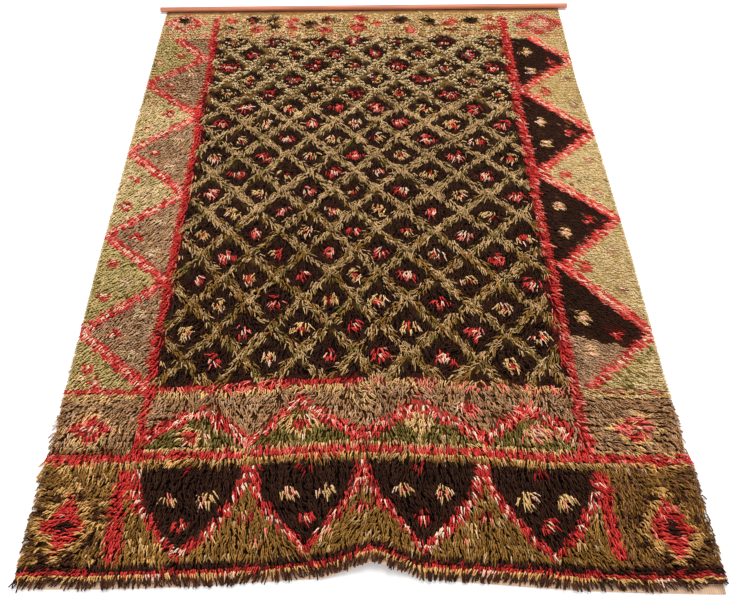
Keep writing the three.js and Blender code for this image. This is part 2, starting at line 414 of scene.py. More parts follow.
def paint_far_border(chart):
    zone = chart.block(*BEYOND_U, *FAR_BORDER_V)
    chart.fill(zone, "pale", "camel", 0.28)
    chart.fill(zone & (chart.v > LAST_FAR_ROW_V) & (chart.roll > 0.86), "coral")
    for looks, flowers in FAR_FLOWERS:
        for u, v, size in flowers:
            chart.star((u, v), size + FAR_HALO, "camel", "camel", "cream")
            chart.star((u, v), 1.15 * size, *looks)
    left = chart.diamond(*FAR_LEFT_DIAMOND)
    kept = chart.v < LEFT_DIAMOND_END_V
    chart.fill(between(0.45, left, 1.05) & kept, "coral", "cream", 0.3)
    chart.fill(between(0.6, left, 1.0) & kept & (chart.roll > 0.55), "red")
    chart.star((76, 34), 20, "dark", "dark")
    right = chart.diamond(*FAR_RIGHT_DIAMOND)
    chart.fill(between(0.45, right, 1.05), "coral", "taupe", 0.3)
    chart.fill(between(0.7, right, 1.0) & (chart.roll > 0.5), "red")
    chart.fill(right < 0.45, "cream", "camel", 0.4)


# The inner near border, its zigzag, its flowers and its lines
INNER_TURN_U = (180, 310, 420, 510, 640, 760, 890, 985, 1108)
INNER_TURN_V = (1476, 1408, 1488, 1396, 1486, 1406, 1480, 1398, 1488)
INNER_FLOWERS = (
    (294, 1470, 28, "camel", "red", "cream"),
    (513, 1452, 32, "camel", "red", "cream"),
    (760, 1452, 30, "camel", "camel", "cream"),
    (995, 1460, 27, "camel", "cream", "coral"),
    (640, 1396, 22, "camel", "taupe"),
    (862, 1412, 18, "coral", "red", "cream"),
)
INNER_DIAMONDS = ((74, 1443), (1200, 1440))
INNER_DIAMOND_HALF = (60, 46)
CROSS_LINE_V = (1500, 1517)
LIGHT_ROW_V = 1491
DARK_FLECKS = (-50, 168, 1488, 1498)
# The line below the field has a left and a right half: where each starts, changes and stops
HALVES_U = 645
LEFT_LINE_V = (1349, 1363, 1376)
RIGHT_LINE_V = (1349, 1356, 1370)


def paint_inner_border(chart):
    u, v = chart.u, chart.v
    zone = chart.block(*BEYOND_U, SIDE_V[1] - 3, CROSS_LINE_V[0] + 4)
    chart.fill(zone, "fawn", "taupe", 0.25)
    line = np.interp(u, INNER_TURN_U, INNER_TURN_V)
    middle = zone & between(LEFT_BAND[1], u, RIGHT_BAND[0])
    chart.fill(middle & (v > line), "green", "olive", 0.15)
    chart.plant(INNER_FLOWERS)
    chart.zigzag(middle, v, line, ZIGZAG_HALF - 1.5, 0.12)
    for centre in INNER_DIAMONDS:
        off = chart.diamond(centre, *INNER_DIAMOND_HALF)
        chart.fill(off < 1.1, "camel", "taupe", 0.3)
        chart.fill(between(0.3, off, 0.78), "red", "coral", 0.45)
        chart.star(centre, 10, "cream", "red")
    chart.fill(chart.block(*BEYOND_U, LIGHT_ROW_V, CROSS_LINE_V[0]), "camel", "fawn", 0.4)
    chart.fill(chart.block(*DARK_FLECKS), "bark", "green", 0.5)
    left_line = chart.block(BEYOND_U[0], HALVES_U, LEFT_LINE_V[0], LEFT_LINE_V[2])
    chart.fill(left_line, "camel", "fawn", 0.3)
    chart.fill(left_line & (v < LEFT_LINE_V[1]), "red", "coral", 0.2)
    right_line = chart.block(HALVES_U, BEYOND_U[1], RIGHT_LINE_V[0], RIGHT_LINE_V[2])
    chart.fill(right_line & (chart.roll < 0.62), "coral", "camel", 0.34)
    chart.fill(right_line & (u > RIGHT_BAND[1]) & (v > RIGHT_LINE_V[1]), "camel", "pale", 0.3)


# The near border: dark shields with their tops on the cross line, and a medallion in each corner
NEAR_BORDER_V = (1515, 1718)
NEAR_STEMS = ((158, 185), (1103, 1129))
STEM_V = (1531, 1708)
SHIELD_TOP_V = 1534
SHIELD_APEX_V = 1707
SHIELDS = ((300, 113), (532, 111), (757, 113), (993, 112))  # u of the middle, half width
SHIELD_ROUND = 1.8
OUTLINE_HALF = 11
TICK_STEP = 17
TICK_HALF = 5
# A shield's flowers: u from its middle, v from its top, size, arms, heart, flecks
SHIELD_FLOWERS = (
    (-37, 64, 15, "camel", "camel", "cream"),
    (-37, 62, 5, "coral", "cream"),
    (37, 64, 15, "camel", "camel", "cream"),
    (37, 62, 5, "coral", "cream"),
    (-3, 115, 14, "red", "cream", "cream"),
    (0, 14, 11, "madder", "dark"),
)
GAP_FLOWERS_U = (415, 644, 880)
SMALL_FLOWERS = ((228, 1682), (440, 1686), (462, 1668), (585, 1678), (850, 1662), (1050, 1678), (835, 1684))
MEDALLIONS = ((72, 1648), (1222, 1648))
MEDALLION_HALF = (64, 98, 78)  # its half width, and its length to its far and its near tip
MEDALLION_SPOTS = 8
SPOTS_OFF = (60, 64)


def paint_shield(chart, zone, middle, half):
    """A dark shield with a red outline, which has light ticks across it, and four flowers."""
    v = chart.v
    down = np.clip((v - SHIELD_TOP_V) / (SHIELD_APEX_V - SHIELD_TOP_V), 0, 1)
    reach = half * (1 - down**SHIELD_ROUND)
    off = np.abs(chart.u - middle)
    body = zone & between(SHIELD_TOP_V - 2, v, SHIELD_APEX_V + 5)
    outline = body & (off < reach + OUTLINE_HALF)
    chart.fill(outline, "red", "madder", 0.25)
    tick = np.mod(v + 0.4 * off, TICK_STEP) < 0.48 * TICK_STEP
    chart.fill(outline & tick & (np.abs(off - reach) < TICK_HALF), "cream")
    chart.fill(body & (off < reach - OUTLINE_HALF) & (v < SHIELD_APEX_V - 14), "dark")
    for across, from_top, *looks in SHIELD_FLOWERS:
        chart.star((middle + across, SHIELD_TOP_V + from_top), *looks)


def paint_medallion(chart, centre):
    """A red diamond with a dark heart, a light outline and dark spots round it."""
    wide, far, near = MEDALLION_HALF
    off = chart.diamond(centre, wide, np.where(chart.v < centre[1], far, near))
    chart.fill((off < 1.03) & (chart.v < NEAR_BORDER_V[1]), "honey", "moss", 0.25)
    chart.fill(off < 0.68, "red", "coral", 0.08)
    chart.fill(off < 0.24, "dark")
    for turn in range(MEDALLION_SPOTS):
        angle = math.tau * (turn + 0.5) / MEDALLION_SPOTS
        spot = (centre[0] + SPOTS_OFF[0] * math.sin(angle), centre[1] + SPOTS_OFF[1] * math.cos(angle))
        chart.star(spot, 10, "umber", "dark")


def paint_near_border(chart):
    u, v = chart.u, chart.v
    zone = chart.block(*BEYOND_U, *NEAR_BORDER_V)
    chart.fill(zone, "moss", "olive", 0.08)
    chart.fill(zone & (u < SHIELDS[0][0]), "moss", "honey", 0.2)
    chart.fill(zone & (u < NEAR_STEMS[0][0]) & (chart.roll > 0.82), "bark")
    chart.fill(zone & (u > NEAR_STEMS[1][1]), "moss", "bark", 0.4)
    for middle, half in SHIELDS:
        paint_shield(chart, zone, middle, half)
    chart.fill(zone & (v < SHIELD_TOP_V - 8), "honey", "olive", 0.2)
    for u_at in GAP_FLOWERS_U:
        chart.star((u_at, SHIELD_TOP_V + 105), 13, "madder", "coral", "camel")
    for at in SMALL_FLOWERS:
        chart.star(at, 9, "camel", "coral")
    for centre in MEDALLIONS:
        paint_medallion(chart, centre)


BAND_SWAY = 2.5
BAND_WAVE = 60
# The red bands beside the field: where each lies, its first v and its share of coral
BANDS = ((LEFT_BAND, 14, 0.06), (RIGHT_BAND, 30, 0.26))


def paint_bands(chart):
    """The red bands beside the field, the stems under them and the line that crosses the rug."""
    u = chart.u + BAND_SWAY * np.sin(chart.v / BAND_WAVE)
    for place, start, bright in BANDS:
        band = between(place[0], u, place[1]) & between(start, chart.v, CROSS_LINE_V[0])
        chart.fill(band, "red", "coral", bright)
        chart.fan[band] = 0
    for low, high in NEAR_STEMS:
        chart.fill(between(low, u, high) & between(STEM_V[0], chart.v, STEM_V[1]), "red", "coral", 0.04)
    chart.fill(between(CROSS_LINE_V[0], chart.v, CROSS_LINE_V[1]), "red", "coral", 0.12)


PLAIN_ROW = 1712  # the last row of knots with the near border's own pattern
# The rows after it: their place, their yarn, their flecks and the share of those
LAST_ROWS = (
    (1719, "dark", "umber", 0.3),
    (1726, "dark", "madder", 0.3),
    (1733, "red", "madder", 0.45),
    (1738.5, "honey", "umber", 0.15),
    (1743, "umber", "dark", 0.3),
)
CREAM_ROW = 1738.5
CREAM_TUFTS = (256, 407, 874, 1185)
CREAM_TUFT_HALF = 15


def paint_last_rows(chart, row):
    for at, yarn, flecks, share in LAST_ROWS:
        chart.fill(np.abs(row - at) < 1, yarn, flecks, share)
    for u_at in CREAM_TUFTS:
        chart.fill((row == CREAM_ROW) & (np.abs(chart.u - u_at) < CREAM_TUFT_HALF), "cream", "camel", 0.3)


def chart_of(x, v, row):
    """The yarn of each end and how it fans, by its place on the cloth and its row."""
    chart = Chart(x, v)
    paint_far_border(chart)
    paint_left_border(chart)
    paint_right_border(chart)
    paint_field(chart)
    paint_inner_border(chart)
    paint_near_border(chart)
    paint_bands(chart)
    paint_last_rows(chart, row)
    return chart


# The pile: rows of knots, each with a few ends of yarn that lean towards the near hem
FIRST_ROW_V = PILE_START_V + 8
FAR_ROW_PITCH = 12.0
ROW_PITCH = 10.3
NEAR_ROW_PITCH = 8.4
NEAR_ROWS_STOP_V = PLAIN_ROW - 5
KNOTS_ACROSS = 84
ENDS = 3
MIDDLE_V = 450
LONG_PILE_V = 1500
ROOT_INSET = 1
ROW_SWAY = 1.6
ROOT_SPREAD = 1.3
BORDER_SPREAD = 3.0

# Where the pile changes, softly, from the first of two places to the second, in u or v
LEFT_BORDER_U = (205, 185)
RIGHT_BORDER_U = (1068, 1090)
BORDER_STOPS_V = (1490, 1420)
WORN_U = (1108, 1135)
WORN_STARTS_V = (110, 150)
WORN_STOPS_V = (1400, 1280)
SHORT_LEFT_U = (165, 140)
SHORT_RIGHT_U = (1115, 1145)
SHORT_STOPS_V = (1440, 1300)
NEAR_PILE_V = (1350, 1520)
FAR_SWIRL_V = (420, 120)
FAR_LOOK_V = (650, 350)
FRINGE_V = (1725, 1745)

REACH_V = (0, 140, 700, 1340, 1490, 1530, 1700, 1725, 1739, 1743)
END_REACH = (15, 17, 18, 19, 18, 19, 21, 17, 14, 19)  # how far over the cloth an end lies, by v
FAN_SHARE = ((0, 500, 1100), (1.2, 0.8, 0.5))  # how far a flower's fan turns its ends, by v
LEFT_COMB = 0.95  # the side borders' lean outwards, in radians from straight down the cloth
RIGHT_COMB = 1.3
NEAR_COMB = 1.0
NEAR_COMB_X = (230, 660)
SWIRL_CELL = 70
LOCK_CELL = 16


def end_reach(x, v):
    """How far an end reaches over the cloth: worn at the right, longest over the near hem."""
    u = x - PATTERN_LEFT
    upper = smooth(*SHORT_STOPS_V, v)
    right = smooth(*SHORT_RIGHT_U, u) * upper
    left = smooth(*SHORT_LEFT_U, u) * upper
    fringe = smooth(*FRINGE_V, v) * (0.2 - 0.05 * smooth(-60, 160, x))
    return np.interp(v, REACH_V, END_REACH) * (1 - 0.34 * right) * (1 - 0.2 * left) * (1 + fringe)


def border_share(x, v):
    """1 in the side borders of short pile, which is combed outwards, and 0 elsewhere."""
    u = x - PATTERN_LEFT
    return (smooth(*LEFT_BORDER_U, u) + smooth(*RIGHT_BORDER_U, u)) * smooth(*BORDER_STOPS_V, v)


def field_share(x, v):
    """1 where the long pile of the field lies every way, and 0 where it is combed."""
    return (1 - border_share(x, v)) * (1 - smooth(*NEAR_PILE_V, v))


def worn(x, v):
    """1 where the pile of the right border is worn short and flat."""
    return smooth(*WORN_U, x - PATTERN_LEFT) * smooth(*WORN_STOPS_V, v) * smooth(*WORN_STARTS_V, v)


def lean_of(x, v, calm=False):
    """The direction of the lean, as an angle from straight down the cloth towards +x.

    The calm lean leaves out the swirls where the pile is combed.
    """
    border = border_share(x, v)
    near = smooth(*NEAR_PILE_V, v)
    far = smooth(*FAR_SWIRL_V, v)
    outwards = np.where(x < 0, LEFT_COMB, RIGHT_COMB)
    near_comb = NEAR_COMB * smooth(*NEAR_COMB_X, np.abs(x)) * near * (1 - border)
    comb = np.sign(x) * (outwards * border + near_comb)
    field = field_share(x, v)
    swirl = drift(x, v, SWIRL_CELL, seed=3) * (0.25 + (0.6 + 0.7 * far) * field + 0.35 * near)
    locks = drift(x, v, LOCK_CELL, seed=5) * (0.12 + (0.8 + 0.4 * far) * field + 0.2 * near)
    return comb + (swirl + locks) * (field if calm else 1)


def panel_knots(side):
    """The roots of a panel's yarn ends, a few for each knot of a row."""
    far_rows = np.arange(FIRST_ROW_V, MIDDLE_V, FAR_ROW_PITCH)
    middle_rows = np.arange(far_rows[-1] + ROW_PITCH, LONG_PILE_V, ROW_PITCH)
    near_rows = np.arange(middle_rows[-1] + NEAR_ROW_PITCH, NEAR_ROWS_STOP_V, NEAR_ROW_PITCH)
    last_rows = [PLAIN_ROW, *[last_row[0] for last_row in LAST_ROWS]]
    rows = np.concatenate([far_rows, middle_rows, near_rows, last_rows])
    count = ENDS * KNOTS_ACROSS
    row, column = np.meshgrid(rows, (np.arange(count) + 0.5) / count, indexing="ij")
    row = row.ravel()
    column = column.ravel()
    low = (selvedge(-1, row) if side < 0 else seam_x(row)) + ROOT_INSET
    high = (seam_x(row) if side < 0 else selvedge(1, row)) - ROOT_INSET
    x = low + (high - low) * column
    knot_x = x.reshape(-1, ENDS).mean(1).repeat(ENDS)
    x += rng.normal(0, 1, len(row)) * (1.0 + 0.5 * field_share(x, row))
    v = row + ROW_SWAY * np.sin(x / 55 + row / 40)
    even = (1 - 0.55 * border_share(x, v)) * (1 - 0.5 * smooth(1690, 1715, v))
    v += rng.normal(0, ROOT_SPREAD, len(row)) * even
    v += BORDER_SPREAD * (np.arange(len(row)) % 3 - 1) * border_share(x, v)
    return x, v, knot_x, row


TUFT_CELL = 15
TUFT_SWAY = 9
TUFT_SWAY_CELL = 31
TUFT_PULL = 0.5
FIELD_PULL = 0.25


def gather(x, v):
    """How far the tips of a tuft are drawn together, across and down the cloth."""
    table = np.random.default_rng(17).uniform(0.2, 0.8, (2, DRIFT_TABLE, DRIFT_TABLE))
    i = np.floor((x + TUFT_SWAY * drift(x, v, TUFT_SWAY_CELL, seed=7)) / TUFT_CELL).astype(int)
    j = np.floor((v + TUFT_SWAY * drift(x, v, TUFT_SWAY_CELL, seed=8)) / TUFT_CELL).astype(int)
    across, down = table[:, i % DRIFT_TABLE, j % DRIFT_TABLE]
    near = smooth(1330, 1420, v) * smooth(1735, 1715, v)
    pull = TUFT_PULL * near + FIELD_PULL * field_share(x, v)
    return pull * ((i + across) * TUFT_CELL - x), pull * ((j + down) * TUFT_CELL - v)


# The bend of an end, at shares of its length: how high it stands and how far it has gone
BEND_AT = (0, 0.2, 0.5, 0.8, 1)
BEND_RISE = (0, 0.8, 1.0, 0.9, 0.66)
BEND_REACH = (0, 0.06, 0.42, 0.78, 1.0)
ROOT_Z = 1.8
LOWEST_Z = 1.9
FLOOR_Z = 2.1
DROOP_SIDE = (-6, 16)  # past the selvedge
DROOP_END = (0, 16)  # past the last row


def end_leans(x, v, fan):
    """The direction in which each end lies: the lean of its place, and a flower's or a line's fan."""
    lean = lean_of(x, v)
    share = np.interp(v, *FAN_SHARE)
    towards = np.stack([np.sin(lean), np.cos(lean)], 1) + share[:, None] * fan
    spread = 0.09 + 0.13 * field_share(x, v)
    return np.arctan2(towards[:, 0], towards[:, 1]) + rng.normal(0, 1, len(x)) * spread


def end_paths(x, v, fan, side, forward):
    """The points of each yarn end, from its root to its tip, as cloth places and heights."""
    count = len(x)
    length = end_reach(x, v) * (1 + rng.uniform(-0.25, 0.15, count) * smooth(*FRINGE_V[::-1], v))
    length *= 1 + rng.uniform(-0.1, 0.1, count)
    angle = end_leans(x, v, fan)
    room = np.abs(selvedge(side, v) - x) + 2 + 7 * smooth(1440, 1520, v)
    outward = side * np.sin(angle) * length
    length = length * np.minimum(1, room / np.maximum(outward, 1e-6))
    bloom = np.minimum(1, 4 * np.abs(fan).sum(1))
    first_rows = 0.5 + 0.5 * smooth(10, 70, v)
    high = pile_height(x, v) * rng.uniform(0.55, 1.0, count) * (1 + 0.2 * bloom) * first_rows
    high *= 1 - 0.3 * worn(x, v)
    curl = rng.normal(0, 1, count) * (0.17 + 0.13 * field_share(x, v)) * length
    along = np.interp(forward, BEND_AT, BEND_REACH)[None] * length[:, None]
    sideways = curl[:, None] * (forward**2)[None]
    sine = np.sin(angle)[:, None]
    cosine = np.cos(angle)[:, None]
    gather_x, gather_v = gather(x, v)
    px = x[:, None] + along * sine + sideways * cosine + gather_x[:, None] * forward
    pv = v[:, None] + along * cosine - sideways * sine + gather_v[:, None] * forward
    pz = ROOT_Z + (high[:, None] - ROOT_Z) * np.interp(forward, BEND_AT, BEND_RISE)[None]
    past_side = np.abs(px) - np.abs(selvedge(side, pv))
    past_end = pv - PILE_END_V
    droop = np.maximum(smooth(*DROOP_SIDE, past_side), 0.8 * smooth(*DROOP_END, past_end))
    floor_z = FLOOR_Z + np.where(past_end > 0, HEM_THICK, 0)
    pz = pz + (floor_z - pz) * droop * smooth(0, 0.3, forward)[None]
    return px, pv, np.maximum(pz, LOWEST_Z * smooth(0, 0.2, forward)[None])


YARN_SIDES = 3


def tube_template(rings):
    """The faces of one yarn end, from its root over its rings to its tip.

    Each corner of a face has its share round the yarn and along it.
    """
    sides = YARN_SIDES
    faces = []
    wraps = []
    tip = 1 + rings * sides
    for k in range(sides):
        first = 1 + k
        beside = 1 + (k + 1) % sides
        faces.append((beside, first, 0))
        wraps.append([(k + 1, 1), (k, 1), (k + 0.5, 0)])
        for ring in range(rings - 1):
            low = ring * sides
            faces.append((low + first, low + beside, low + beside + sides, low + first + sides))
            wraps.append([(k, ring + 1), (k + 1, ring + 1), (k + 1, ring + 2), (k, ring + 2)])
        last = (rings - 1) * sides
        faces.append((last + first, last + beside, tip))
        wraps.append([(k, rings), (k + 1, rings), (k + 0.5, rings + 1)])
    wrap = np.array([(a / sides, t / (rings + 1)) for face in wraps for a, t in face])
    return faces, wrap


def tube_points(path, radius):
    """The corners of tapered tubes along paths (count, rings + 2, 3) from a root to a tip."""
    tangent = path[:, 2:] - path[:, :-2]
    tangent /= np.linalg.norm(tangent, axis=2, keepdims=True)
    run = path[:, -1] - path[:, 0]
    across = np.stack([-run[:, 1], run[:, 0], np.zeros(len(run))], 1)[:, None]
    across = across - (across * tangent).sum(2, keepdims=True) * tangent
    across /= np.linalg.norm(across, axis=2, keepdims=True)
    up = np.cross(across, tangent)
    turn = math.tau * (np.arange(YARN_SIDES) + 0.25) / YARN_SIDES
    ring = np.cos(turn)[:, None] * across[:, :, None] + np.sin(turn)[:, None] * up[:, :, None]
    corners = path[:, 1:-1, None] + ring * radius[:, :, None, None]
    return np.concatenate([path[:, :1], corners.reshape(len(path), -1, 3), path[:, -1:]], 1)


def new_object(name, data):
    made = bpy.data.objects.new(name, data)
    bpy.context.scene.collection.objects.link(made)
    return made


def mesh_from(name, points, faces):
    """A mesh object from arrays: points (n, 3), and faces as their corner counts and their corners."""
    counts, corners = faces
    mesh = bpy.data.meshes.new(name)
    mesh.vertices.add(len(points))
    mesh.vertices.foreach_set("co", np.asarray(points, np.float32).ravel())
    mesh.loops.add(len(corners))
    mesh.loops.foreach_set("vertex_index", corners.astype(np.int32))
    mesh.polygons.add(len(counts))
    starts = np.concatenate([[0], np.cumsum(counts)[:-1]]).astype(np.int32)
    mesh.polygons.foreach_set("loop_start", starts)
    mesh.polygons.foreach_set("use_smooth", np.ones(len(counts), bool))
    mesh.update(calc_edges=True)
    mesh.validate()
    return new_object(name, mesh)


def add_value(mesh, name, values):
    attribute = mesh.attributes.new(name, "FLOAT", "POINT")
    attribute.data.foreach_set("value", np.asarray(values, np.float32).ravel())


def add_uv(mesh, name, uv):
    layer = mesh.uv_layers.new(name=name)
    layer.data.foreach_set("uv", np.asarray(uv, np.float32).ravel())


def pile_piece(name, path, steps, radius, shade, flat):
    """One joined mesh of yarn ends, with the shade (a random tone) of each end and the depth of each
    corner, which sets its painted foot shade.

    An end that lies flat has no painted shade at its foot.
    """
    count, rings = radius.shape
    faces, wrap = tube_template(rings)
    points = tube_points(path, radius)
    each = points.shape[1]
    corner = np.concatenate(faces)
    corners = (np.arange(count)[:, None] * each + corner[None]).ravel()
    counts = np.tile([len(face) for face in faces], count)
    piece = mesh_from(name, points.reshape(-1, 3), (counts, corners))
    depth = np.repeat(steps, [1, *[YARN_SIDES] * rings, 1])
    add_value(piece.data, "shade", np.repeat(shade, each))
    # The depth sets the painted shade at an end's foot, lifted where the end counts as flat.
    add_value(piece.data, "depth", depth[None] + (1 - depth[None]) * flat[:, None])
    add_uv(piece.data, "Yarn", np.tile(wrap, (count, 1)))
    grid = math.ceil(math.sqrt(count))
    cell = np.stack([np.arange(count) % grid, np.arange(count) // grid], 1)
    inset = 0.1 + 0.8 * wrap
    add_uv(piece.data, "OFBake", (cell[:, None] + inset[None]).reshape(-1, 2) / grid)
    return piece


# A yarn's radius by v, and its taper by the share of its length
YARN_RADIUS = ((0, MIDDLE_V - 1, MIDDLE_V, 1200, 1520, 1720, 1740), (1.6, 1.65, 1.5, 1.5, 1.55, 1.65, 1.7))
TAPER = ((0, 0.8, 1), (1.0, 1.0, 0.8))
# How much of the painted shade at an end's foot is lifted in the left border, and in the worn right border
FOOT_SHADE_LIFT = {
    **dict.fromkeys(("pale", "sage"), (0.75, 0.8)),
    **dict.fromkeys(("red", "coral", "cream"), (0.35, 0.3)),
}
OTHER_FOOT_SHADE_LIFT = (0.2, 0.5)
MOST_FOOT_SHADE_LIFT = 0.85
# The stretches of pile: name, shares of an end's length at its root, rings and tip, first and last v
PILE_PARTS = (
    ("far", (0, 0.66, 1), 0, MIDDLE_V),
    ("short", (0, 0.48, 0.95, 1), MIDDLE_V, LONG_PILE_V),
    ("long", (0, 0.45, 0.96, 1), LONG_PILE_V, NEAR_HEM_V),
)
SEEN_SHARE = 0.6  # the share of an end's reach where it shows most
SEEN_HIGH = 0.85  # and of its height
SEEN_FARTHER = 4.0
EYE_NEAR = 300  # from the near hem to the place under the eye
EYE_HIGH = 1328


def knot_chart(x, v, row):
    """The chart of a panel's knots, read where their ends show from the near hem."""
    seen = SEEN_SHARE * end_reach(x, v)
    lean = lean_of(x, v, calm=True)
    lift = SEEN_HIGH * pile_height(x, v) * (EYE_NEAR + NEAR_HEM_V - v) / EYE_HIGH
    lift += SEEN_FARTHER * smooth(1000, 1500, v)
    knots = slice(None, None, ENDS)
    shown_x = x + seen * np.sin(lean)
    shown_v = v + seen * np.cos(lean) - lift
    return chart_of(shown_x[knots], shown_v[knots], row[knots])


def foot_shade_lift(name, x, v):
    """How much the painted shade at the foot of each end of a yarn is lifted."""
    at_left, at_right = FOOT_SHADE_LIFT.get(name, OTHER_FOOT_SHADE_LIFT)
    flat = at_right * worn(x, v) + at_left * border_share(x, v) * (x < 0)
    lighter = name != "dark"
    # The painted foot shade is also lifted in the near pile and the field, and, for all but the dark yarn,
    # towards the far end.
    flat += 0.12 * smooth(1360, 1500, v) + 0.12 * field_share(x, v) * lighter
    flat += 0.3 * smooth(*FAR_LOOK_V, v) * lighter
    return np.minimum(flat, MOST_FOOT_SHADE_LIFT)


def panel_pile(side, materials):
    """The pile pieces of a panel, one for each yarn and stretch of pile."""
    all_x, all_v, knot_x, row = panel_knots(side)
    chart = knot_chart(knot_x, all_v, row)
    yarn = chart.yarn.repeat(ENDS)
    fan = chart.fan.repeat(ENDS, axis=0)
    pieces = []
    place = "left" if side < 0 else "right"
    for index, name in enumerate(YARN_NAMES):
        for length, forward, start, stop in PILE_PARTS:
            here = (row >= start) & (row < stop) & (yarn == index)
            if not here.any():
                continue
            x = all_x[here]
            v = all_v[here]
            px, pv, pz = end_paths(x, v, fan[here], side, np.array(forward))
            thick = np.interp(v, *YARN_RADIUS) * rng.uniform(0.85, 1.15, len(x))
            radius = thick[:, None] * np.interp(forward[1:-1], *TAPER) * MM
            even = np.maximum(0.6 * worn(x, v), 0.4 * smooth(*FAR_LOOK_V, v))
            shade = 0.5 + rng.uniform(-0.5, 0.5, len(x)) * (1 - even)
            flat = foot_shade_lift(name, x, v)
            path = on_floor(px, pv, pz)
            piece = pile_piece(f"pile_{name}_{length}_{place}", path, forward, radius, shade, flat)
            piece.data.materials.append(materials[name])
            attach(piece, "root")
            pieces.append(piece)
    return pieces


def node(tree, kind, **settings):
    made = tree.nodes.new(kind)
    for key, value in settings.items():
        setattr(made, key, value)
    return made


def connect(tree, socket, value):
    """Link a socket to another one, or set it to a number or a colour."""
    if isinstance(value, bpy.types.NodeSocket):
        tree.links.new(value, socket)
    else:
        socket.default_value = value


def maths(tree, operation, *values):
    """A math node on sockets or numbers."""
    made = node(tree, "ShaderNodeMath", operation=operation)
    for socket, value in zip(made.inputs, values):
        connect(tree, socket, value)
    return made.outputs[0]


def weighted(tree, *terms):
    """The sum of sockets, each times its weight."""
    parts = [maths(tree, "MULTIPLY", socket, weight) for socket, weight in terms]
    total = parts[0]
    for part in parts[1:]:
        total = maths(tree, "ADD", total, part)
    return total


def place_on(tree, kind="Object"):
    return node(tree, "ShaderNodeTexCoord").outputs[kind]


def attribute(tree, name, kind="Fac"):
    return node(tree, "ShaderNodeAttribute", attribute_name=name).outputs[kind]


def noise(tree, place, scale, detail=2.0):
    made = node(tree, "ShaderNodeTexNoise")
    connect(tree, made.inputs["Vector"], place)
    made.inputs["Scale"].default_value = scale
    made.inputs["Detail"].default_value = detail
    return made.outputs["Fac"]


def ramp(tree, source, stops):
    made = node(tree, "ShaderNodeValToRGB")
    elements = made.color_ramp.elements
    while len(elements) < len(stops):
        elements.new(0.5)
    for element, (at, colour) in zip(elements, stops):
        element.position = at
        element.color = colour
    connect(tree, made.inputs["Fac"], source)
    return made.outputs["Color"]


def multiplied(tree, a, b):
    """The product of two colours."""
    made = node(tree, "ShaderNodeMix", data_type="RGBA", blend_type="MULTIPLY")
    for index, value in ((0, 1.0), (6, a), (7, b)):
        connect(tree, made.inputs[index], value)
    return made.outputs[2]


def split(tree, vector):
    parts = node(tree, "ShaderNodeSeparateXYZ")
    connect(tree, parts.inputs[0], vector)
    return parts.outputs


def add_bump(tree, shader, height, strength, distance):
    bump = node(tree, "ShaderNodeBump")
    bump.inputs["Strength"].default_value = strength
    bump.inputs["Distance"].default_value = distance
    connect(tree, bump.inputs["Height"], height)
    connect(tree, shader.inputs["Normal"], bump.outputs["Normal"])


MATT_SPECULAR = 0.1


def new_material(name, **values):
    """A material, its tree and its shader, with the shader's own values."""
    material = bpy.data.materials.new(name)
    material.use_nodes = True
    tree = material.node_tree
    shader = tree.nodes["Principled BSDF"]
    for key, value in values.items():
        shader.inputs[key.replace("_", " ")].default_value = value
    return material, tree, shader


def wool(name, roughness, sheen, tint):
    values = {"Sheen_Weight": sheen, "Sheen_Roughness": 0.45, "Sheen_Tint": tint}
    return new_material(name, Roughness=roughness, Specular_IOR_Level=MATT_SPECULAR, **values)


def grey(value):
    return (value, value, value, 1.0)


PLIES = 2.0
TWISTS = 5.0  # along one end of yarn


def yarn_material(name):
    """Twisted two-ply wool in the yarn's two tones, with painted shade darkening its foot and the grooves
    of its twist.
    """
    _, low, high = YARNS[name]
    material, tree, shader = wool(f"wool_{name}", 0.88, 0.05, linear(high))
    shade = attribute(tree, "shade")
    depth = attribute(tree, "depth")
    place = place_on(tree)
    broad = noise(tree, place, 9.0)
    lock = noise(tree, place, 38.0)
    fine = noise(tree, place, 420.0)
    wrap = split(tree, node(tree, "ShaderNodeUVMap", uv_map="Yarn").outputs["UV"])
    turns = weighted(tree, (wrap[0], PLIES), (wrap[1], TWISTS))
    ply = maths(tree, "SINE", maths(tree, "MULTIPLY", turns, math.tau))
    fuzz = maths(tree, "SUBTRACT", fine, 0.5)
    # The ply term is painted shade in the grooves of the twist; the shade attribute and the noises are
    # random tone.
    tone = weighted(tree, (shade, 0.38), (broad, 0.22), (lock, 0.4), (ply, 0.16), (fuzz, 0.35))
    colour = ramp(tree, tone, ((0.12, linear(low)), (0.88, linear(high))))
    # Painted shade: each end is darkened towards its foot, down to a fifth of its colour at the root.
    foot = ramp(tree, depth, ((0.0, grey(0.2)), (0.6, grey(1.0))))
    connect(tree, shader.inputs["Base Color"], multiplied(tree, colour, foot))
    rough = maths(tree, "ADD", maths(tree, "MULTIPLY", fine, 0.2), 0.78)
    connect(tree, shader.inputs["Roughness"], rough)
    add_bump(tree, shader, maths(tree, "ADD", ply, fine), 0.5, 0.0005)
    return material


WARP_TURNS = math.tau / 0.0042
WEFT_TURNS = math.pi / 0.0022


